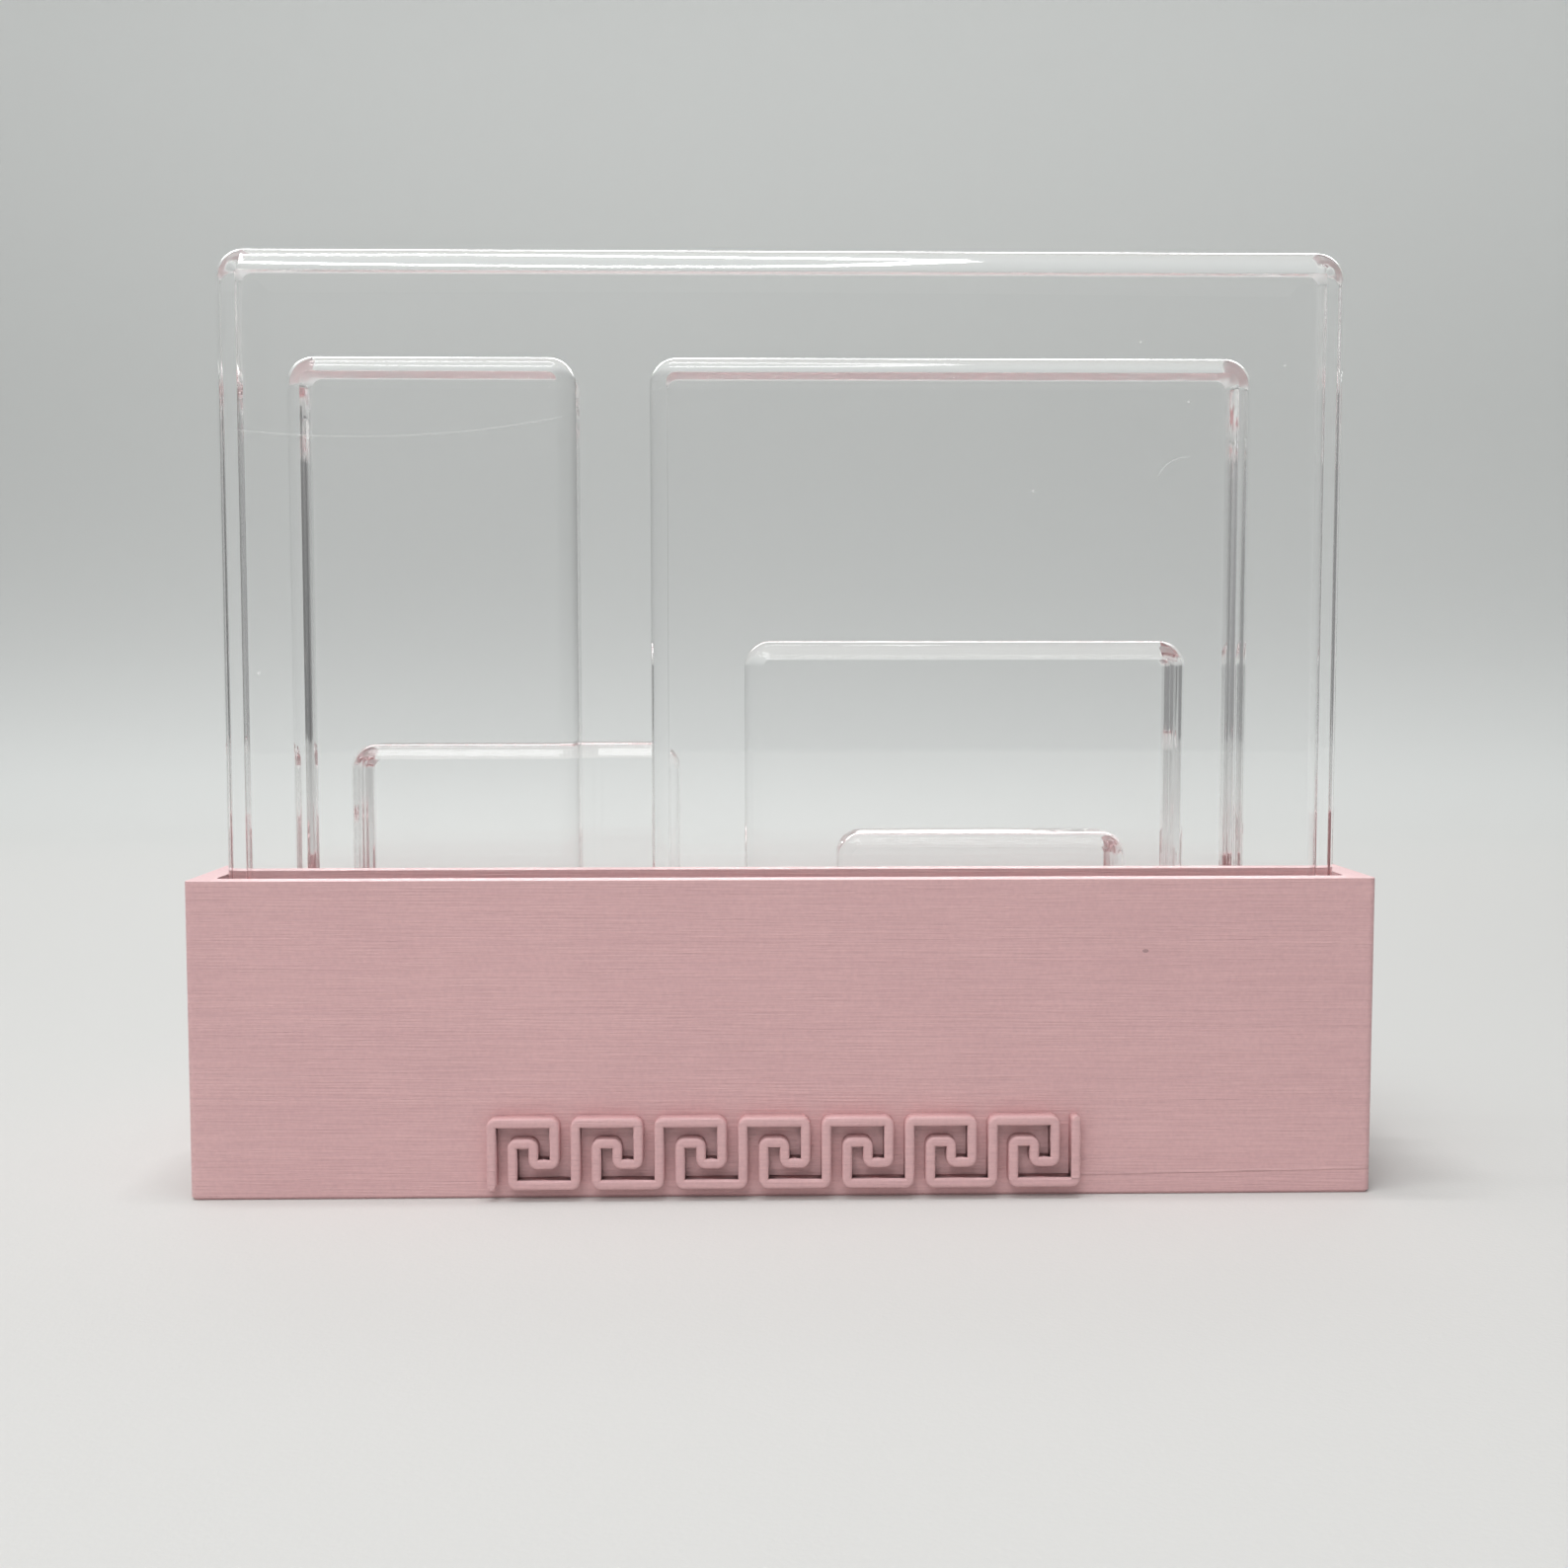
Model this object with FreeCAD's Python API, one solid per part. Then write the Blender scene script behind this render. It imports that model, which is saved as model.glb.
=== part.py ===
import FreeCAD, Part
import os

from FreeCAD import Vector

# Printed holder with five stepped rows for clear acrylic stamping blocks, millimetres.
# X runs along the rows, Y from the tall front wall to the low rear wall, Z up.
# The origin is on the base, under the middle of the whole object.

# Driving dimensions of the printed holder
WIDTH = 165.4
WALL = 3.4
DIVIDER = 3.0
SLOT = 14.0
LOW_FLOOR = 2.0
HIGH_FLOOR = 14.6
RIMS = (44.6, 34.6, 26.6, 20.6, 15.6)
FLOORS = (HIGH_FLOOR, LOW_FLOOR, LOW_FLOOR, LOW_FLOOR, LOW_FLOOR)
OUTER_CORNER = 1.0
SLOT_CORNER = 0.8
FOOT_CHAMFER = 0.4

# Driving dimensions shared by the acrylic blocks
BLOCK_THICK = 12.0
BLOCK_CORNER = 4.0
BLOCK_FRONT_GAP = 0.7

# Each block: row counted from the front wall, middle along X, width, height and bevel
BLOCKS = {
    "page_block": (0, 0.15, 157.9, 117.5, 3.0),
    "card_block": (1, 25.1, 88.9, 117.5, 2.3),
    "tall_block": (1, -51.25, 42.3, 117.5, 2.3),
    "medium_block": (2, 29.0, 69.0, 76.2, 2.6),
    "small_block": (2, -41.2, 50.8, 60.2, 2.0),
    "low_block": (3, 33.45, 47.3, 45.1, 2.0),
    "mini_block": (3, -34.8, 34.9, 30.2, 2.0),
    "border_block": (4, 0.0, 157.2, 30.2, 2.0),
}

# Raised trimming braid on the front wall, in a key pattern: one band with right-angled turns on a grid
KEY_RAISE = 2.0
KEY_UNITS = 7
KEY_PITCH = 2.9
KEY_STROKE = 1.4
KEY_MIDDLE = 6.7
KEY_ROUND = 0.6
KEY_UNIT = ((0, 0), (0, 3), (3, 3), (3, 1), (2, 1), (2, 2), (1, 2), (1, 0))
KEY_UNIT_PITCHES = 4
KEY_LEVELS = 3

ROWS = len(RIMS)
HOLDER_DEPTH = 2 * WALL + ROWS * SLOT + (ROWS - 1) * DIVIDER
FRONT = (KEY_RAISE - HOLDER_DEPTH) / 2
REAR = FRONT + HOLDER_DEPTH
OVERCUT = 5.0


def row_front(row):
    """Y of the slot side nearest the front wall, in the given row."""
    return FRONT + WALL + row * (SLOT + DIVIDER)


def step_rear(row):
    """Y at which the rim of the given row ends and the next, lower one starts."""
    if row == ROWS - 1:
        return REAR
    return row_front(row) + SLOT + DIVIDER


def stepped_profile():
    """Side view of the holder: one stair for each row, falling to the rear."""
    points = [Vector(0, FRONT, 0)]
    front = FRONT
    for row in range(ROWS):
        points.append(Vector(0, front, RIMS[row]))
        front = step_rear(row)
        points.append(Vector(0, front, RIMS[row]))
    points.append(Vector(0, REAR, 0))
    points.append(points[0])
    return Part.Face(Part.makePolygon(points))


def edge_is_upright(edge):
    """True where an edge runs along Z."""
    run = edge.Vertexes[-1].Point - edge.Vertexes[0].Point
    return abs(run.x) < 1e-6 and abs(run.y) < 1e-6


def edge_lies_at(edge, z):
    """True where both ends of an edge are at the given height."""
    return all(abs(vertex.Z - z) < 1e-6 for vertex in edge.Vertexes)


def edges_along_y(body):
    """The straight edges that run from front to rear."""
    found = []
    for edge in body.Edges:
        run = edge.Vertexes[-1].Point - edge.Vertexes[0].Point
        if abs(run.x) < 1e-6 and abs(run.z) < 1e-6:
            found.append(edge)
    return found


def outer_corner_edges(body):
    """The four upright edges at the ends of the front and rear walls."""
    found = []
    for edge in body.Edges:
        y = edge.Vertexes[0].Y
        at_end = min(abs(y - FRONT), abs(y - REAR)) < 1e-6
        if edge_is_upright(edge) and at_end:
            found.append(edge)
    return found


def slot_cutter(row):
    """The space of one row, open at the top, with slightly rounded upright corners."""
    length = WIDTH - 2 * WALL
    height = RIMS[0] - FLOORS[row] + OVERCUT
    corner = Vector(-length / 2, row_front(row), FLOORS[row])
    space = Part.makeBox(length, SLOT, height, corner)
    return space.makeFillet(SLOT_CORNER, [e for e in space.Edges if edge_is_upright(e)])


def holder():
    """The one-piece printed holder: stepped body, rounded ends, five slots."""
    body = stepped_profile().extrude(Vector(WIDTH, 0, 0))
    body.translate(Vector(-WIDTH / 2, 0, 0))
    body = body.makeFillet(OUTER_CORNER, outer_corner_edges(body))
    body = body.makeChamfer(FOOT_CHAMFER, [e for e in body.Edges if edge_lies_at(e, 0)])
    for row in range(ROWS):
        body = body.cut(slot_cutter(row))
    return body


def block(row, middle, width, height, bevel):
    """A clear block on edge: round corners in front view, then a polished bevel round both faces."""
    front = row_front(row) + BLOCK_FRONT_GAP
    corner = Vector(middle - width / 2, front, FLOORS[row])
    slab = Part.makeBox(width, BLOCK_THICK, height, corner)
    slab = slab.makeFillet(BLOCK_CORNER, edges_along_y(slab))
    rims = []
    for edge in slab.Edges:
        ys = [vertex.Y for vertex in edge.Vertexes]
        if max(ys) - min(ys) < 1e-6:
            rims.append(edge)
    return slab.makeChamfer(bevel, rims)


def key_corners():
    """Corners of the band's middle line as (x, z): the unit repeated, with one last upright stroke."""
    last = KEY_UNITS * KEY_UNIT_PITCHES
    steps = []
    for unit in range(KEY_UNITS):
        for along, level in KEY_UNIT:
            steps.append((along + unit * KEY_UNIT_PITCHES, level))
    steps += [(last, 0), (last, KEY_LEVELS)]
    corners = []
    for along, level in steps:
        corners.append(((along - last / 2) * KEY_PITCH, KEY_MIDDLE + (level - KEY_LEVELS / 2) * KEY_PITCH))
    return corners


def key_stroke(start, end):
    """One straight stroke of the band, with half a stroke added past both ends."""
    left, right = sorted((start[0], end[0]))
    low, high = sorted((start[1], end[1]))
    corner = Vector(left - KEY_STROKE / 2, FRONT - KEY_RAISE, low - KEY_STROKE / 2)
    return Part.makeBox(right - left + KEY_STROKE, KEY_RAISE, high - low + KEY_STROKE, corner)


def wall_braid():
    """The raised braid: all strokes of its band in one solid, with every corner rounded."""
    corners = key_corners()
    strokes = [key_stroke(start, end) for start, end in zip(corners, corners[1:])]
    band = strokes[0].fuse(strokes[1:]).removeSplitter()
    return band.makeFillet(KEY_ROUND, edges_along_y(band))


def write(shape, node):
    """Export one node and print its size."""
    box = shape.BoundBox
    shape.exportStep(os.path.join("parts", node + ".step"))
    print(node, len(shape.Solids), "solid", shape.isValid(), round(shape.Volume, 1),
          [round(v, 2) for v in (box.XMin, box.YMin, box.ZMin, box.XMax, box.YMax, box.ZMax)])


def main():
    os.makedirs("parts", exist_ok=True)
    write(holder(), "holder")
    write(wall_braid(), "wall_braid")
    for node, size in BLOCKS.items():
        write(block(*size), node)


main()
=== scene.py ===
"""A pink printed holder with clear acrylic stamping blocks, on a pale studio sweep. Lengths are in metres."""
import math

import bpy
import numpy as np
from mathutils import Matrix, Vector


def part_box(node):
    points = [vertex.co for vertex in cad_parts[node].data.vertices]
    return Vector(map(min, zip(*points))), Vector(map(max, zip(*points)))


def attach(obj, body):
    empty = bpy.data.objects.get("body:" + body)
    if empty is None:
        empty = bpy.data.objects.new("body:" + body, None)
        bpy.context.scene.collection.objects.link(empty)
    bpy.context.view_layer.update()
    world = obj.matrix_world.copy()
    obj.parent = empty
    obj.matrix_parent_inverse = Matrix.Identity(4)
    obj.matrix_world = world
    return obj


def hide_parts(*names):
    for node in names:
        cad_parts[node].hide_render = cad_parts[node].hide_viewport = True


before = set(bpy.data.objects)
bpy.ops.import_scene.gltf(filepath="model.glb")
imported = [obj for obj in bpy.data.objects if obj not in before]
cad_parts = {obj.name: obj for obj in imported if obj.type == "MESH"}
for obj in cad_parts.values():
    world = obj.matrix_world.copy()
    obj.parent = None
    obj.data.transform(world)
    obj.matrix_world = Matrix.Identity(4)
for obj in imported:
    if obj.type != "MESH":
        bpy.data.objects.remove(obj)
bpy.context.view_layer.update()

MM = 0.001

# Clear blocks: width of the front bevel in millimetres from outline to face, the slopes in degrees at which
# it starts and ends, and the share of the width it takes up before the crest begins. The bevel round the rear
# face is steeper, and the same on every block.
BLOCKS = {
    "page_block": (3.75, 31, 41.5, 0.70),
    "card_block": (2.65, 27, 42, 0.62),
    "tall_block": (2.65, 27, 42, 0.62),
    "medium_block": (3.0, 18, 30, 0.62),
    "small_block": (2.3, 18, 24, 0.62),
    "low_block": (2.3, 18, 24, 0.62),
    "mini_block": (2.3, 18, 24, 0.62),
    "border_block": (2.3, 18, 24, 0.62),
}
REAR_BEVEL = (2.6, 49, 60, 0.78)
BLOCK_CORNER = 4.0 * MM
FACE_TURN = 0.45 * MM
CORNER_STEPS = 14
TURN_STEPS = (4, 9, 11)
SIDE_PITCH = 3.0 * MM

# Hand polish: how far the outline wanders, and the number of waves in that and their radians a metre
HAND_POLISH = 0.06 * MM
POLISH_WAVES = 5
POLISH_WAVE_RANGE = (15, 60)

# Raised trimming braid on the front wall, in a key pattern: one band with right-angled turns on a grid
KEY_UNITS = 7
KEY_PITCH = 2.9 * MM
KEY_STROKE = 1.4 * MM
KEY_MIDDLE = 6.7 * MM
KEY_BEND = 0.62 * MM
KEY_ROUNDING = 0.45 * MM
KEY_ROOT = 0.3 * MM
KEY_UNIT = ((0, 0), (0, 3), (3, 3), (3, 1), (2, 1), (2, 2), (1, 2), (1, 0))
KEY_UNIT_PITCHES = 4
KEY_LEVELS = 3
BEND_STEPS = 6
ROUNDING_STEPS = 5
END_STEPS = 5
END_NARROWEST = 0.1

# Print: layer height and width of one track on level tops, with the unsteadiness of each, then how far the
# end rims reach in, and how much of a normal points up on a level top
LAYER = 0.2 * MM
LAYER_WOBBLE = 0.6
TRACK = 0.42 * MM
TRACK_WOBBLE = 0.3
WOBBLE_SCALE = 0.1
END_RIM = 3.3 * MM
LEVEL_TOP = 0.7

# Patterns in the plastic: noise cells a metre along each axis, and the noise's detail and roughness
STREAKS = ((100, 100, 4200), 3.0, 0.7)
COURSES = ((6, 6, 2600), 2.0, 0.7)
MOTTLE = ((45, 45, 45), 2.0, 0.5)
GRAIN = ((1900, 1900, 1900), 1.0, 0.5)

# Share of each pattern in the plastic's colour
STREAK_SHARE = 0.33
COURSE_SHARE = 0.27
MOTTLE_SHARE = 0.15
GRAIN_SHARE = 0.25

# Plastic: colours at the dark and pale ends of the blend of patterns, and where the blend reaches them
PINK_DARK = (0.715, 0.437, 0.451)
PINK_PALE = (0.815, 0.511, 0.514)
PINK_ENDS = (0.38, 0.62)
WALL_ROUGHNESS = 0.40
TOP_ROUGHNESS = 0.42
PLASTIC_IOR = 1.46
TRACK_RELIEF = 0.05 * MM
LAYER_RELIEF_SHARE = 0.4
STREAK_RELIEF = 0.13 * MM
SEAM_RELIEF = 0.12 * MM
DOT_DARKENS = 0.35

# Traces of making and use on the holder's front wall: a raised seam near the foot, and a small dark dot
SEAM_LEFT = 0.040
SEAM_HEIGHT = 2.3 * MM
SEAM_SLOPE = 0.015
SEAM_WIDTH = 0.22 * MM
DOT_PLACE = (0.0504, -0.0434, 0.0345)
DOT_SIZE = (0.45 * MM, 0.45 * MM, 0.25 * MM)

# Fine scratches on the front face of the first block: centre and radius of each arc in x and z, and the place
# and reach of the part of it that shows. Specks are (x, z).
SCRATCH_FACE = -0.0390
SCRATCHES = (
    ((-0.0591, 0.2557), 0.1499, (-0.0530, 0.1060), 0.0225),
    ((0.0563, 0.0988), 0.0044, (0.0540, 0.1025), 0.0026),
)
SCRATCH_WIDTH = 0.10 * MM
SPECKS = ((0.0496, 0.1190), (0.0697, 0.1158), (0.0564, 0.1108), (0.0348, 0.0985), (-0.0729, 0.0732))
SPECK_RADIUS = 0.22 * MM
SPECK_DEPTH = 1 * MM
SCRATCH_SHARE = 0.18
SCRATCH_LEVEL = 0.9

# Acrylic. The haze lies on the rear bevels of the blocks' tops: where the outward normal points rearward and
# up by at least these amounts, short of the rear face itself.
ACRYLIC_TINT = (0.999, 1.0, 1.0, 1)
ACRYLIC_IOR = 1.49
THROUGH_TINT = (0.985, 0.985, 0.985, 1)
POLISHED_ROUGHNESS = 0.02
HAZY_ROUGHNESS = 0.13
HAZE_SHARE = 0.35
HAZE_LEVEL = 0.5
HAZE_REARWARD = 0.1
HAZE_UPWARD = 0.2
REAR_FACE = 0.95

# Camera: where it stands and where it looks
CAMERA_PLACE = (-0.00496, -0.28163, 0.07315)
CAMERA_LENS = 39.73
CAMERA_SENSOR = 36.0
CAMERA_CLIP_START = 0.01
CAMERA_TURN_RIGHT = math.radians(1.189)
CAMERA_TILT_DOWN = math.radians(3.657)
CAMERA_ROLL = math.radians(-0.036)

# Sweep of paper: floor, curve, wall. Its tones are painted light and shade, lighter and darker bands along
# the sweep in place of
# how the light falls on it: (place along the sweep as y + z, level, tint). The painted brightening of the
# wall from left to right sets in between two such places.
FLOOR_FRONT = -1.40
FLOOR_REAR = 0.50
SWEEP_RADIUS = 0.25
SWEEP_STEPS = 24
SWEEP_HALF_WIDTH = 1.6
SWEEP_TOP = 0.70
FLOOR_TINT = (0.992, 0.994, 0.972)
WALL_TINT = (0.975, 1.0, 0.985)
SWEEP_PAINTED_SHADES = (
    (-0.42, 0.98, FLOOR_TINT),
    (-0.22, 0.665, FLOOR_TINT),
    (0.02, 0.68, FLOOR_TINT),
    (0.20, 0.735, FLOOR_TINT),
    (0.42, 0.90, FLOOR_TINT),
    (0.61, 0.93, WALL_TINT),
    (0.74, 0.755, WALL_TINT),
    (0.85, 0.67, WALL_TINT),
    (1.00, 0.68, WALL_TINT),
    (1.25, 0.91, WALL_TINT),
)
WALL_STARTS = 0.62
WALL_REACHED = 0.90
WALL_PAINTED_SIDE_LIGHT = 0.08
PAPER_ROUGHNESS = 0.85
PAPER_SPECULAR = 0.2
PAPER_GRAIN = ((1500, 1500, 1500), 2.0, 0.5)
PAPER_RELIEF = 0.05 * MM

# Light round the object: the direction it is brightest in, and its level by share of the way to there
AIR_AXIS = (-0.42, -0.42, 0.805)
AIR_STOPS = ((0.25, 0.12), (0.77, 0.30), (1.0, 0.98))

# Lamps: a long oval loop of narrow bright strips overhead, each from one place to the next, closed by a thin
# one at the left end, and two soft panels
STRIP_HEIGHT = 0.72
STRIP_WIDTH = 0.026
STRIP_GLOW = 40.0
FRONT_STRIPS = (
    (-0.240, -0.110), (-0.187, -0.135), (-0.078, -0.156), (0.000, -0.146), (0.045, -0.122), (0.095, -0.052),
)
REAR_STRIPS = ((-0.240, 0.002), (-0.131, 0.018), (-0.049, -0.002), (0.033, -0.021), (0.095, -0.042))
CLOSING_STRIP = (FRONT_STRIPS[0], REAR_STRIPS[0])
CLOSING_WIDTH = 0.003
REAR_PANEL = {"place": (0.00, 0.64, 0.60), "target": (0.00, -0.04, 0.05), "size": (1.20, 0.24), "power": 8.0}
FRONT_PANEL = {"place": (-0.20, -0.66, 0.70), "target": (0.0, 0.0, 0.05), "size": (0.34, 0.24), "power": 1.3}


# ---------------------------------------------------------------- meshes

def mesh_piece(name, points, faces, normals=None):
    """A smooth-shaded object from an array of points and lists of corner numbers.
    Where normals are given, one for each point, they take the place of the averaged ones."""
    mesh = bpy.data.meshes.new(name)
    mesh.from_pydata(points.tolist(), [], faces)
    mesh.polygons.foreach_set("use_smooth", np.ones(len(mesh.polygons), bool))
    if normals is not None:
        mesh.normals_split_custom_set_from_vertices(normals.tolist())
    mesh.update()
    piece = bpy.data.objects.new(name, mesh)
    bpy.context.scene.collection.objects.link(piece)
    return piece


def grid_faces(rows, columns, closed=True):
    """Corner numbers of the quads between neighbouring rows of a grid. Columns run round where closed."""
    reach = columns if closed else columns - 1
    row, column = np.meshgrid(np.arange(rows - 1), np.arange(reach), indexing="ij")
    after = (column + 1) % columns
    this_row = row * columns
    next_row = this_row + columns
    corners = np.stack([this_row + column, this_row + after, next_row + after, next_row + column], axis=-1)
    return corners.reshape(-1, 4).tolist()


def rounded_outline(width, height, corner, pitch, steps):
    """Points round a rectangle with round corners, as corner centre and outward direction.
    Each corner is a quarter circle; the straight sides between are divided about every pitch."""
    centres = []
    turns = []
    quarter = np.linspace(0, math.pi / 2, steps + 1)
    signs = ((1, 1), (-1, 1), (-1, -1), (1, -1))
    for number, (sx, sz) in enumerate(signs):
        here = np.array([sx * (width / 2 - corner), sz * (height / 2 - corner)])
        nx, nz = signs[(number + 1) % 4]
        after = np.array([nx * (width / 2 - corner), nz * (height / 2 - corner)])
        turn = quarter + number * math.pi / 2
        centres.append(np.repeat(here[None], steps + 1, axis=0))
        turns.append(turn)
        count = max(2, int(round(np.linalg.norm(after - here) / pitch)))
        share = np.linspace(0, 1, count + 1)[1:-1, None]
        centres.append(here + (after - here) * share)
        turns.append(np.full(count - 1, turn[-1]))
    return np.concatenate(centres), np.concatenate(turns)


def bevel_profile(width, start, end, share):
    """Across one edge of a block, from its face to its side, as (inset, depth, tilt).
    The tilt goes quickly from 0 to the start slope, slowly along the bevel to the end slope, and then round
    the crest to a right angle. Each step goes in by its length times the cosine of its tilt and back by its
    length times the sine, and the steps of the bevel and the crest are scaled to make up the width."""
    width = width * MM
    slopes = np.radians([0, start, end, 90])
    tilt = [slopes[:1]]
    lengths = []
    face_length = FACE_TURN * slopes[1]
    rest = width - FACE_TURN * math.sin(slopes[1])
    bevel_length = rest * share / math.cos((slopes[1] + slopes[2]) / 2)
    crest_length = rest * (1 - share) / (1 - math.sin(slopes[2])) * (slopes[3] - slopes[2])
    for number, length in enumerate((face_length, bevel_length, crest_length)):
        steps = TURN_STEPS[number]
        tilt.append(np.linspace(slopes[number], slopes[number + 1], steps + 1)[1:])
        lengths.append(np.full(steps, length / steps))
    tilt = np.concatenate(tilt)
    lengths = np.concatenate(lengths)
    middle = (tilt[1:] + tilt[:-1]) / 2
    inward = np.concatenate([[0], np.cumsum(np.cos(middle) * lengths)])
    depth = np.concatenate([[0], np.cumsum(np.sin(middle) * lengths)])
    return inward[-1] - inward, depth, tilt


def slab(name, low, high, bevel, seed):
    """A cast and polished block standing on edge.
    Round its outline the point is corner centre + (corner radius - inset) * direction. Inset and depth come
    from the bevel's profile at the front face, then from the steeper one at the rear face in reverse. The
    whole outline wanders by a few hundredths of a millimetre, as hand polishing leaves it."""
    width, thick, height = (high[i] - low[i] for i in range(3))
    centre, turn = rounded_outline(width, height, BLOCK_CORNER, SIDE_PITCH, CORNER_STEPS)
    around = np.stack([np.cos(turn), np.sin(turn)], axis=-1)
    place = centre + BLOCK_CORNER * around
    random = np.random.default_rng(seed)
    wander = np.zeros(len(turn))
    for wave in random.uniform(*POLISH_WAVE_RANGE, POLISH_WAVES):
        heading = random.uniform(0, math.tau)
        phase = random.uniform(0, math.tau)
        wander += np.sin(wave * (place[:, 0] * math.cos(heading) + place[:, 1] * math.sin(heading)) + phase)
    inset, depth, tilt = bevel_profile(*bevel)
    rear_inset, rear_depth, rear_tilt = bevel_profile(*REAR_BEVEL)
    inset = np.concatenate([inset, rear_inset[::-1]])
    depth = np.concatenate([depth, thick - rear_depth[::-1]])
    tilt = np.concatenate([tilt, math.pi - rear_tilt[::-1]])[:, None]
    reach = BLOCK_CORNER - inset[:, None] - HAND_POLISH * (0.5 + wander / (2 * POLISH_WAVES))
    reach = reach[..., None]
    depth = depth[:, None]
    flat = centre + reach * around
    points = np.stack([flat[..., 0], depth + 0 * turn, flat[..., 1]], axis=-1)
    normals = np.stack(
        [np.sin(tilt) * around[:, 0], -np.cos(tilt) + 0 * turn, np.sin(tilt) * around[:, 1]], axis=-1
    )
    middle = np.array([(low[0] + high[0]) / 2, low[1], (low[2] + high[2]) / 2])
    rows, columns = points.shape[:2]
    faces = [quad[::-1] for quad in grid_faces(rows, columns)]
    faces.append(list(range(columns)))
    faces.append([rows * columns - 1 - i for i in range(columns)])
    return mesh_piece(name, points.reshape(-1, 3) + middle, faces, normals.reshape(-1, 3))


# ---------------------------------------------------------------- braid

def key_corners():
    """Corners of the band's middle line, on the wall: the unit repeated, with one last upright stroke."""
    unit = np.array(KEY_UNIT, float)
    run = np.concatenate([unit + [number * KEY_UNIT_PITCHES, 0] for number in range(KEY_UNITS)])
    last = KEY_UNITS * KEY_UNIT_PITCHES
    run = np.concatenate([run, [[last, 0], [last, KEY_LEVELS]]])
    return (run - [last / 2, KEY_LEVELS / 2]) * KEY_PITCH + [0, KEY_MIDDLE]


def rounded_line(corners, radius, steps):
    """A line through corners, with a quarter circle in place of each: points and the direction at each.
    The circle's middle lies a radius inside both straight runs, and its angle goes evenly from one to the
    other."""
    runs = np.diff(corners, axis=0)
    runs /= np.linalg.norm(runs, axis=1)[:, None]
    before = runs[:-1, None]
    after = runs[1:, None]
    turn = np.linspace(0, math.pi / 2, steps + 1)[None, :, None]
    middle = corners[1:-1, None] + radius * (after - before)
    bend = middle + radius * (before * np.sin(turn) - after * np.cos(turn))
    heading = before * np.cos(turn) + after * np.sin(turn)
    points = np.concatenate([corners[:1], bend.reshape(-1, 2), corners[-1:]])
    headings = np.concatenate([runs[:1], heading.reshape(-1, 2), runs[-1:]])
    return points, headings


def ridge_profile(half_width, rise):
    """Across the band: distance from its middle and rise above the wall, from one root to the other.
    The top is flat between two quarter circles."""
    turn = np.linspace(0, math.pi / 2, ROUNDING_STEPS + 1)
    spread = half_width - KEY_ROUNDING * (1 - np.cos(turn))
    height = rise - KEY_ROUNDING * (1 - np.sin(turn))
    spread = np.concatenate([[half_width], spread, -spread[::-1], [-half_width]])
    height = np.concatenate([[-KEY_ROOT], height, height[::-1], [-KEY_ROOT]])
    return spread, height


def key_band(wall, rise):
    """The band: the ridge profile carried along the rounded line. Its two ends are drawn in to half circles,
    where the width shrinks as the square root of 1 - t squared while t goes from 0 to 1 over half a width."""
    line, heading = rounded_line(key_corners(), KEY_BEND, BEND_STEPS)
    half = KEY_STROKE / 2
    reach = np.sin(np.linspace(0, math.pi / 2, END_STEPS + 1))[1:, None]
    first = line[0] - heading[0] * reach[::-1] * half
    last = line[-1] + heading[-1] * reach * half
    shrink = np.sqrt(np.maximum(1 - reach[:, 0] ** 2, END_NARROWEST ** 2))
    scale = np.concatenate([shrink[::-1], np.ones(len(line)), shrink])
    line = np.concatenate([first, line, last])
    first_heading = np.repeat(heading[:1], END_STEPS, axis=0)
    last_heading = np.repeat(heading[-1:], END_STEPS, axis=0)
    heading = np.concatenate([first_heading, heading, last_heading])
    across = np.stack([-heading[:, 1], heading[:, 0]], axis=-1)
    spread, height = ridge_profile(half, rise)
    flat = line[:, None] + across[:, None] * (scale[:, None] * spread[None])[..., None]
    out = wall - height[None] + 0 * flat[..., 0]
    points = np.stack([flat[..., 0], out, flat[..., 1]], axis=-1)
    rows, columns = points.shape[:2]
    faces = grid_faces(rows, columns)
    faces.append(list(range(columns))[::-1])
    faces.append([(rows - 1) * columns + i for i in range(columns)])
    return mesh_piece("wall_braid_relief", points.reshape(-1, 3), faces)


# ---------------------------------------------------------------- materials

def new_material(name):
    """An empty node material, as (material, nodes, links)."""
    material = bpy.data.materials.new(name)
    material.use_nodes = True
    nodes = material.node_tree.nodes
    nodes.clear()
    return material, nodes, material.node_tree.links


def object_pattern(nodes, links, scale=(1, 1, 1), place=(0, 0, 0)):
    """Object coordinates, scaled and moved by a Mapping node."""
    coordinates = nodes.new("ShaderNodeTexCoord")
    mapping = nodes.new("ShaderNodeMapping")
    mapping.inputs["Scale"].default_value = scale
    mapping.inputs["Location"].default_value = place
    links.new(coordinates.outputs["Object"], mapping.inputs["Vector"])
    return mapping.outputs["Vector"]


def axes(nodes, links, vector):
    """The outputs "X", "Y" and "Z" of a node that takes a vector socket apart."""
    node = nodes.new("ShaderNodeSeparateXYZ")
    links.new(vector, node.inputs["Vector"])
    return node.outputs


def noise(nodes, links, cells, detail, roughness):
    """A noise texture with the given cells a metre along each axis of the object, as its value socket."""
    texture = nodes.new("ShaderNodeTexNoise")
    texture.inputs["Scale"].default_value = 1.0
    texture.inputs["Detail"].default_value = detail
    texture.inputs["Roughness"].default_value = roughness
    links.new(object_pattern(nodes, links, cells), texture.inputs["Vector"])
    return texture.outputs["Fac"]


def maths(nodes, links, operation, first, second):
    """The outcome of one Math node. Each side is a socket or a number."""
    node = nodes.new("ShaderNodeMath")
    node.operation = operation
    for number, side in enumerate((first, second)):
        if isinstance(side, (int, float)):
            node.inputs[number].default_value = side
        else:
            links.new(side, node.inputs[number])
    return node.outputs[0]


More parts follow.
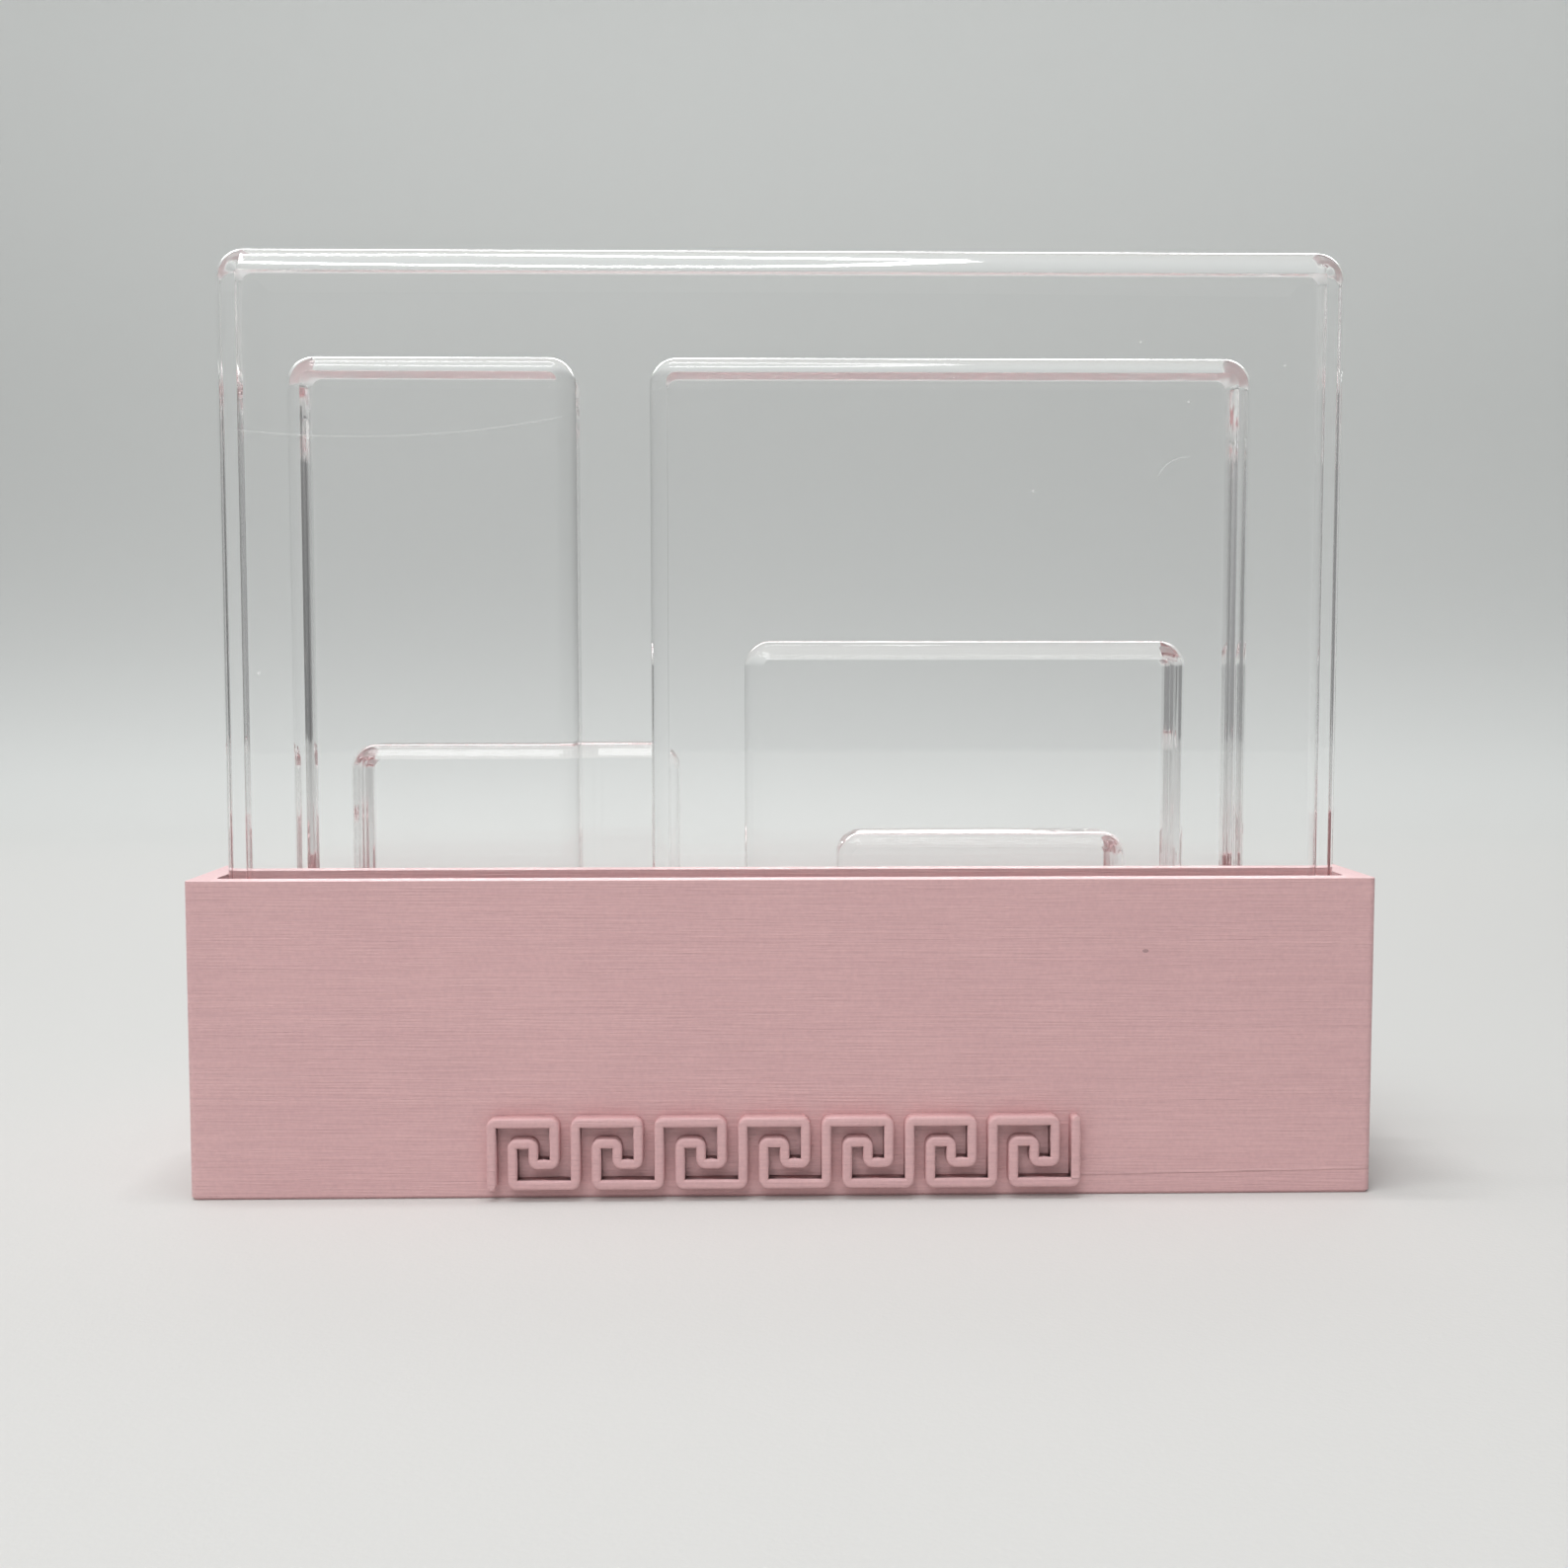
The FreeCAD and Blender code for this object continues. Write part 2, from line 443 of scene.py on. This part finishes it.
def bump(nodes, links, height, distance, under=None):
    """Relief of the given height in metres, on top of an earlier relief where there is one."""
    node = nodes.new("ShaderNodeBump")
    node.inputs["Distance"].default_value = distance
    links.new(height, node.inputs["Height"])
    if under is not None:
        links.new(under, node.inputs["Normal"])
    return node.outputs["Normal"]


def colour_stops(nodes, links, share, colours):
    """A colour ramp over a share socket, from (position, colour) pairs. A new ramp has two stops already."""
    ramp = nodes.new("ShaderNodeValToRGB")
    stops = ramp.color_ramp.elements
    for number, (position, colour) in enumerate(colours):
        stop = stops[number] if number < 2 else stops.new(1.0)
        stop.position = position
        stop.color = (*colour, 1)
    links.new(share, ramp.inputs["Fac"])
    return ramp


def scaled_colour(nodes, links, colour, gain):
    """A colour socket times a value socket."""
    node = nodes.new("ShaderNodeVectorMath")
    node.operation = "SCALE"
    links.new(colour, node.inputs[0])
    links.new(gain, node.inputs["Scale"])
    return node.outputs[0]


def finish_material(nodes, links, shader):
    """Send a shader to the material's output."""
    output = nodes.new("ShaderNodeOutputMaterial")
    links.new(shader.outputs[0], output.inputs["Surface"])


def bands(nodes, links, axis, pitch, wobble):
    """Even ridges across one axis of the object, slightly unsteady. The texture takes the sine of the place
    times 20 times its scale."""
    wave = nodes.new("ShaderNodeTexWave")
    wave.wave_type = "BANDS"
    wave.bands_direction = axis
    wave.inputs["Scale"].default_value = math.tau / 20 / pitch
    wave.inputs["Distortion"].default_value = wobble
    wave.inputs["Detail"].default_value = 1.0
    wave.inputs["Detail Scale"].default_value = WOBBLE_SCALE
    links.new(object_pattern(nodes, links), wave.inputs["Vector"])
    return wave.outputs["Fac"]


def choose(nodes, links, share, first, second):
    """One value or the other, blended by a share socket."""
    node = nodes.new("ShaderNodeMix")
    links.new(share, node.inputs["Factor"])
    for socket, side in zip((node.inputs["A"], node.inputs["B"]), (first, second)):
        if isinstance(side, (int, float)):
            socket.default_value = side
        else:
            links.new(side, socket)
    return node.outputs["Result"]


def near_place(nodes, links, place, reach):
    """1 inside an ellipsoid round a place of the object, 0 outside."""
    scale = [1 / side for side in reach]
    moved = object_pattern(nodes, links, scale, [-here * size for here, size in zip(place, scale)])
    length = nodes.new("ShaderNodeVectorMath")
    length.operation = "LENGTH"
    links.new(moved, length.inputs[0])
    return maths(nodes, links, "LESS_THAN", length.outputs["Value"], 1.0)


def wall_seam(nodes, links, place):
    """A low ridge along the foot of the front wall, right of its middle, that climbs slightly. Its height
    falls off evenly with the distance from its line."""
    line = maths(nodes, links, "MULTIPLY", place["X"], SEAM_SLOPE)
    line = maths(nodes, links, "ADD", line, SEAM_HEIGHT)
    above = maths(nodes, links, "SUBTRACT", place["Z"], line)
    off_line = maths(nodes, links, "DIVIDE", maths(nodes, links, "ABSOLUTE", above, 0.0), SEAM_WIDTH)
    ridge = maths(nodes, links, "MAXIMUM", maths(nodes, links, "SUBTRACT", 1.0, off_line), 0.0)
    is_right = maths(nodes, links, "GREATER_THAN", place["X"], SEAM_LEFT)
    return maths(nodes, links, "MULTIPLY", ridge, is_right)


def face_scratches(nodes, links):
    """1 on the fine scratches and specks of the first block's front face, 0 elsewhere. A scratch is the part
    of a circle's line, as wide as given, that lies within reach of its place."""
    place = axes(nodes, links, object_pattern(nodes, links))
    flat = nodes.new("ShaderNodeCombineXYZ")
    links.new(place["X"], flat.inputs["X"])
    links.new(place["Z"], flat.inputs["Z"])
    marks = 0.0
    for centre, radius, middle, reach in SCRATCHES:
        distance = nodes.new("ShaderNodeVectorMath")
        distance.operation = "DISTANCE"
        links.new(flat.outputs[0], distance.inputs[0])
        distance.inputs[1].default_value = (centre[0], 0, centre[1])
        off_line = maths(nodes, links, "SUBTRACT", distance.outputs["Value"], radius)
        off_line = maths(nodes, links, "ABSOLUTE", off_line, 0.0)
        on_line = maths(nodes, links, "LESS_THAN", off_line, SCRATCH_WIDTH / 2)
        here = near_place(nodes, links, (middle[0], SCRATCH_FACE, middle[1]), (reach, reach, reach))
        marks = maths(nodes, links, "ADD", marks, maths(nodes, links, "MULTIPLY", on_line, here))
    for x, z in SPECKS:
        speck = near_place(nodes, links, (x, SCRATCH_FACE, z), (SPECK_RADIUS, SPECK_DEPTH, SPECK_RADIUS))
        marks = maths(nodes, links, "ADD", marks, speck)
    in_front = maths(nodes, links, "LESS_THAN", place["Y"], SCRATCH_FACE)
    return maths(nodes, links, "MULTIPLY", marks, in_front)


def printed_relief(nodes, links, place, is_top, half_width):
    """Layers on the walls, and the nozzle's tracks on level tops. The tracks run across the rim at both ends
    of the holder and along it elsewhere."""
    off_middle = maths(nodes, links, "ABSOLUTE", place["X"], 0.0)
    is_end = maths(nodes, links, "GREATER_THAN", off_middle, half_width - END_RIM)
    along = bands(nodes, links, "Y", TRACK, TRACK_WOBBLE)
    across = bands(nodes, links, "X", TRACK, TRACK_WOBBLE)
    layers = bands(nodes, links, "Z", LAYER, LAYER_WOBBLE)
    layers = maths(nodes, links, "MULTIPLY", layers, LAYER_RELIEF_SHARE)
    return choose(nodes, links, is_top, layers, choose(nodes, links, is_end, along, across))


def printed_plastic(half_width):
    """Pink plastic laid down in thin layers, for a holder of the given half width: ridges along the walls,
    paler and darker courses, short streaks, a fine grain and slow mottling, and tracks on the level tops."""
    material, nodes, links = new_material("printed_pink_plastic")
    place = axes(nodes, links, object_pattern(nodes, links))
    facing = axes(nodes, links, nodes.new("ShaderNodeNewGeometry").outputs["Normal"])
    is_top = maths(nodes, links, "GREATER_THAN", facing["Z"], LEVEL_TOP)

    streaks = noise(nodes, links, *STREAKS)
    patterns = (
        (streaks, STREAK_SHARE),
        (noise(nodes, links, *COURSES), COURSE_SHARE),
        (noise(nodes, links, *MOTTLE), MOTTLE_SHARE),
        (noise(nodes, links, *GRAIN), GRAIN_SHARE),
    )
    blend = 0.0
    for pattern, share in patterns:
        blend = maths(nodes, links, "ADD", blend, maths(nodes, links, "MULTIPLY", pattern, share))
    ramp = colour_stops(nodes, links, blend, zip(PINK_ENDS, (PINK_DARK, PINK_PALE)))
    dot = near_place(nodes, links, DOT_PLACE, DOT_SIZE)
    tone = maths(nodes, links, "SUBTRACT", 1.0, maths(nodes, links, "MULTIPLY", dot, DOT_DARKENS))

    normal = bump(nodes, links, printed_relief(nodes, links, place, is_top, half_width), TRACK_RELIEF)
    normal = bump(nodes, links, streaks, STREAK_RELIEF, under=normal)
    normal = bump(nodes, links, wall_seam(nodes, links, place), SEAM_RELIEF, under=normal)
    shader = nodes.new("ShaderNodeBsdfPrincipled")
    shader.inputs["IOR"].default_value = PLASTIC_IOR
    links.new(choose(nodes, links, is_top, WALL_ROUGHNESS, TOP_ROUGHNESS), shader.inputs["Roughness"])
    links.new(scaled_colour(nodes, links, ramp.outputs["Color"], tone), shader.inputs["Base Color"])
    links.new(normal, shader.inputs["Normal"])
    finish_material(nodes, links, shader)
    return material


def mixed_with(nodes, links, share, shader, level):
    """A shader mixed by a share with white scatter of a given level, off the surface and through it."""
    scatter = nodes.new("ShaderNodeAddShader")
    for number, side in enumerate(("ShaderNodeBsdfDiffuse", "ShaderNodeBsdfTranslucent")):
        part = nodes.new(side)
        part.inputs["Color"].default_value = (level, level, level, 1)
        links.new(part.outputs[0], scatter.inputs[number])
    mixed = nodes.new("ShaderNodeMixShader")
    links.new(share, mixed.inputs[0])
    links.new(shader, mixed.inputs[1])
    links.new(scatter.outputs[0], mixed.inputs[2])
    return mixed


def haze_places(nodes, links):
    """1 on the rear bevels of a block's top, 0 elsewhere. The normal is turned back to the outward one where
    a ray meets the surface from inside."""
    surface = nodes.new("ShaderNodeNewGeometry")
    facing = axes(nodes, links, surface.outputs["Normal"])
    inside = maths(nodes, links, "MULTIPLY", surface.outputs["Backfacing"], 2.0)
    outward = maths(nodes, links, "SUBTRACT", 1.0, inside)
    rearward = maths(nodes, links, "MULTIPLY", facing["Y"], outward)
    upward = maths(nodes, links, "MULTIPLY", facing["Z"], outward)
    off_face = maths(nodes, links, "LESS_THAN", rearward, REAR_FACE)
    is_rear = maths(nodes, links, "GREATER_THAN", rearward, HAZE_REARWARD)
    is_high = maths(nodes, links, "GREATER_THAN", upward, HAZE_UPWARD)
    return maths(nodes, links, "MULTIPLY", maths(nodes, links, "MULTIPLY", off_face, is_rear), is_high)


def clear_acrylic():
    """Polished cast acrylic with a few fine scratches, and slightly hazy on the rear bevel of its top. Rays
    from lamps and from matte surfaces pass straight through it."""
    material, nodes, links = new_material("polished_clear_acrylic")
    haze = haze_places(nodes, links)
    shader = nodes.new("ShaderNodeBsdfPrincipled")
    shader.inputs["Base Color"].default_value = ACRYLIC_TINT
    shader.inputs["IOR"].default_value = ACRYLIC_IOR
    shader.inputs["Transmission Weight"].default_value = 1.0
    links.new(choose(nodes, links, haze, POLISHED_ROUGHNESS, HAZY_ROUGHNESS), shader.inputs["Roughness"])
    through = nodes.new("ShaderNodeBsdfTransparent")
    through.inputs["Color"].default_value = THROUGH_TINT
    path = nodes.new("ShaderNodeLightPath")
    straight = maths(nodes, links, "MAXIMUM", path.outputs["Is Shadow Ray"], path.outputs["Is Diffuse Ray"])
    clear = nodes.new("ShaderNodeMixShader")
    links.new(straight, clear.inputs[0])
    links.new(shader.outputs[0], clear.inputs[1])
    links.new(through.outputs[0], clear.inputs[2])
    haze = maths(nodes, links, "MULTIPLY", haze, HAZE_SHARE)
    hazed = mixed_with(nodes, links, haze, clear.outputs[0], HAZE_LEVEL)
    scratches = maths(nodes, links, "MULTIPLY", face_scratches(nodes, links), SCRATCH_SHARE)
    scratched = mixed_with(nodes, links, scratches, hazed.outputs[0], SCRATCH_LEVEL)
    finish_material(nodes, links, scratched)
    return material


def sweep_paper_painted_light():
    """Matte paper with a fine grain, and painted light and shade in its colour. Its tone changes slowly along
    the sweep, with Y + Z as the place on it, and on the wall it is painted brighter from left to right."""
    material, nodes, links = new_material("sweep_paper_painted_light")
    parts = axes(nodes, links, object_pattern(nodes, links))
    place = maths(nodes, links, "ADD", parts["Y"], parts["Z"])
    # Painted light and shade along the sweep: a ramp of tones by Y + Z
    first = SWEEP_PAINTED_SHADES[0][0]
    reach = SWEEP_PAINTED_SHADES[-1][0] - first
    share = maths(nodes, links, "DIVIDE", maths(nodes, links, "SUBTRACT", place, first), reach)
    colours = []
    for spot, tone, tint in SWEEP_PAINTED_SHADES:
        colours.append(((spot - first) / reach, [tone * part for part in tint]))
    ramp = colour_stops(nodes, links, share, colours)
    ramp.color_ramp.interpolation = "B_SPLINE"
    on_wall = nodes.new("ShaderNodeMapRange")
    on_wall.inputs["From Min"].default_value = WALL_STARTS
    on_wall.inputs["From Max"].default_value = WALL_REACHED
    links.new(place, on_wall.inputs["Value"])
    # Painted light: the wall's colour is made brighter towards the right
    painted_side_light = maths(nodes, links, "MULTIPLY", parts["X"], WALL_PAINTED_SIDE_LIGHT)
    gain = maths(nodes, links, "ADD", maths(nodes, links, "MULTIPLY", painted_side_light, on_wall.outputs[0]), 1.0)
    shader = nodes.new("ShaderNodeBsdfPrincipled")
    shader.inputs["Roughness"].default_value = PAPER_ROUGHNESS
    shader.inputs["Specular IOR Level"].default_value = PAPER_SPECULAR
    links.new(scaled_colour(nodes, links, ramp.outputs["Color"], gain), shader.inputs["Base Color"])
    grain = noise(nodes, links, *PAPER_GRAIN)
    links.new(bump(nodes, links, grain, PAPER_RELIEF), shader.inputs["Normal"])
    finish_material(nodes, links, shader)
    return material


# ---------------------------------------------------------------- stage, lamps, camera

def paper_sweep():
    """Floor, quarter-circle curve and wall in one surface: a profile in the YZ plane carried along X."""
    turn = np.linspace(0, math.pi / 2, SWEEP_STEPS + 1)
    y = FLOOR_REAR + SWEEP_RADIUS * np.sin(turn)
    z = SWEEP_RADIUS * (1 - np.cos(turn))
    y = np.concatenate([[FLOOR_FRONT], y, [y[-1]]])
    z = np.concatenate([[0.0], z, [SWEEP_TOP]])
    x = np.array([-SWEEP_HALF_WIDTH, SWEEP_HALF_WIDTH])
    points = np.stack([x[None] + 0 * y[:, None], y[:, None] + 0 * x, z[:, None] + 0 * x], axis=-1)
    faces = grid_faces(len(y), 2, closed=False)
    sweep = mesh_piece("sweep", points.reshape(-1, 3), faces)
    sweep.data.materials.append(sweep_paper_painted_light())


def area_lamp(name, place, target, size, power, turn=0.0):
    """A rectangular soft lamp that faces a point, turned about its own axis."""
    light = bpy.data.lights.new(name, "AREA")
    light.shape = "RECTANGLE"
    light.size, light.size_y = size
    light.energy = power
    lamp = bpy.data.objects.new(name, light)
    bpy.context.scene.collection.objects.link(lamp)
    aim = (Vector(target) - Vector(place)).to_track_quat("-Z", "Y").to_matrix().to_4x4()
    lamp.matrix_world = Matrix.Translation(place) @ aim @ Matrix.Rotation(turn, 4, "Z")
    return lamp


def strip_lamps(corners, width):
    """Narrow lamps that face straight down, one from each plan position to the next."""
    for start, end in zip(corners, corners[1:]):
        run = Vector(end) - Vector(start)
        middle = (Vector(end) + Vector(start)) / 2
        power = math.pi * STRIP_GLOW * width * run.length
        turn = math.atan2(run.y, run.x)
        area_lamp("strip", (*middle, STRIP_HEIGHT), (*middle, 0), (run.length, width), power, turn)


def studio_air():
    """World light: brightest high in front on the left, dim behind. The share goes from 0 straight away from
    the brightest direction to 1 in it."""
    world = bpy.data.worlds.new("studio_air")
    bpy.context.scene.world = world
    world.use_nodes = True
    nodes = world.node_tree.nodes
    links = world.node_tree.links
    direction = nodes.new("ShaderNodeTexCoord").outputs["Generated"]
    along = nodes.new("ShaderNodeVectorMath")
    along.operation = "DOT_PRODUCT"
    along.inputs[1].default_value = AIR_AXIS
    links.new(direction, along.inputs[0])
    share = nodes.new("ShaderNodeMapRange")
    share.inputs["From Min"].default_value = -1
    links.new(along.outputs["Value"], share.inputs["Value"])
    greys = [(spot, (level, level, level)) for spot, level in AIR_STOPS]
    ramp = colour_stops(nodes, links, share.outputs[0], greys)
    links.new(ramp.outputs["Color"], nodes["Background"].inputs["Color"])


def camera():
    """The camera, from its place, turn, tilt and roll."""
    data = bpy.data.cameras.new("camera")
    data.lens = CAMERA_LENS
    data.sensor_width = CAMERA_SENSOR
    data.clip_start = CAMERA_CLIP_START
    eye = bpy.data.objects.new("camera", data)
    bpy.context.scene.collection.objects.link(eye)
    turn = Matrix.Rotation(-CAMERA_TURN_RIGHT, 4, "Z")
    tilt = Matrix.Rotation(math.pi / 2 - CAMERA_TILT_DOWN, 4, "X")
    roll = Matrix.Rotation(CAMERA_ROLL, 4, "Z")
    eye.matrix_world = Matrix.Translation(CAMERA_PLACE) @ turn @ tilt @ roll
    bpy.context.scene.camera = eye


# ---------------------------------------------------------------- making

holder_half_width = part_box("holder")[1][0]
plastic = printed_plastic(holder_half_width)
acrylic = clear_acrylic()

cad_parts["holder"].data.materials.clear()
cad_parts["holder"].data.materials.append(plastic)

key_low, key_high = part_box("wall_braid")
relief = key_band(key_high[1], key_high[1] - key_low[1])
relief.data.materials.append(plastic)
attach(relief, "holder")
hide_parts("wall_braid")

for number, (node, bevel) in enumerate(BLOCKS.items()):
    low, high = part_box(node)
    block = slab(node + "_polished", low, high, bevel, number)
    block.data.materials.append(acrylic)
    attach(block, node)
    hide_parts(node)

paper_sweep()
strip_lamps(FRONT_STRIPS, STRIP_WIDTH)
strip_lamps(REAR_STRIPS, STRIP_WIDTH)
strip_lamps(CLOSING_STRIP, CLOSING_WIDTH)
sheen_only = area_lamp("rear_panel", **REAR_PANEL)
sheen_only.visible_diffuse = False
area_lamp("front_panel", **FRONT_PANEL)
studio_air()
camera()

scene = bpy.context.scene
scene.view_settings.view_transform = "Standard"
scene.cycles.max_bounces = 32
scene.cycles.transmission_bounces = 24
scene.cycles.glossy_bounces = 24
scene.cycles.transparent_max_bounces = 24
